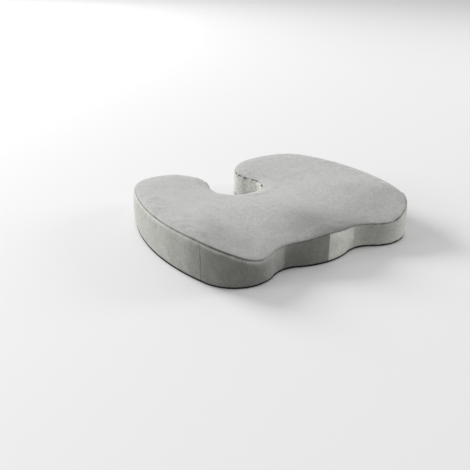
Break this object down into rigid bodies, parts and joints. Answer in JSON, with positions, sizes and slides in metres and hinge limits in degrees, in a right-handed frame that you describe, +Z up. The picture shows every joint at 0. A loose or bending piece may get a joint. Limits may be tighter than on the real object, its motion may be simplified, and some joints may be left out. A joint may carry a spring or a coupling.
{
  "type": "coccyx seat cushion",
  "caption": "Contoured foam seat cushion with a tailbone notch at the rear, thigh grooves and a raised nose at the front, in a zipped plush cover with an anti-slip base.",
  "frame": {"origin": "on the resting face under the base fabric, on the cushion's centre plane, midway between the front and rear lobes", "axes": "+X to the sitter's left, which is the side with the zip; +Y to the rear, where the tailbone notch opens; +Z up out of the seat surface; the front edge faces -Y"},
  "size_m": [0.4496, 0.3899, 0.0705],
  "materials": {
    "foam": "slow-recovery foam, fine open cells",
    "liner": "thin off-white jersey",
    "plush": "short grey velour pile",
    "grip": "black fabric with rubber dots",
    "zip_tape": "woven tape",
    "zip_coil": "nylon coil",
    "zip_metal": "nickel-plated die casting",
    "label": "blank satin ribbon"
  },
  "bodies": {
    "cushion": {"foam_core": "foam", "inner_liner_upper": "liner", "inner_liner_lower": "liner", "cover_top_panel": "plush", "front_band_left": "plush", "front_band_right": "plush", "rear_band": "plush", "zip_band_upper": "plush", "zip_band_lower": "plush", "base_panel": "grip", "zip_tape_upper": "zip_tape", "zip_tape_lower": "zip_tape", "zip_coil_upper": "zip_coil", "zip_coil_lower": "zip_coil", "zip_top_stop_upper": "zip_metal", "zip_top_stop_lower": "zip_metal", "zip_bottom_stop": "zip_metal", "care_label": "label"},
    "slider": {"zip_slider": "zip_metal"},
    "pull": {"zip_pull": "zip_metal"}
  },
  "joints": [
    {"name": "zip_travel", "type": "hinge", "parent": "cushion", "child": "slider", "pos_m": [-0.19299, -0.02276, 0.015], "axis": [0, 0, 1], "range_deg": [-29.1, 0]},
    {"name": "pull_swing", "type": "hinge", "parent": "slider", "child": "pull", "pos_m": [0.21121, 0.08934, 0.015], "axis": [0, 0, 1], "range_deg": [0, 178]}
  ]
}
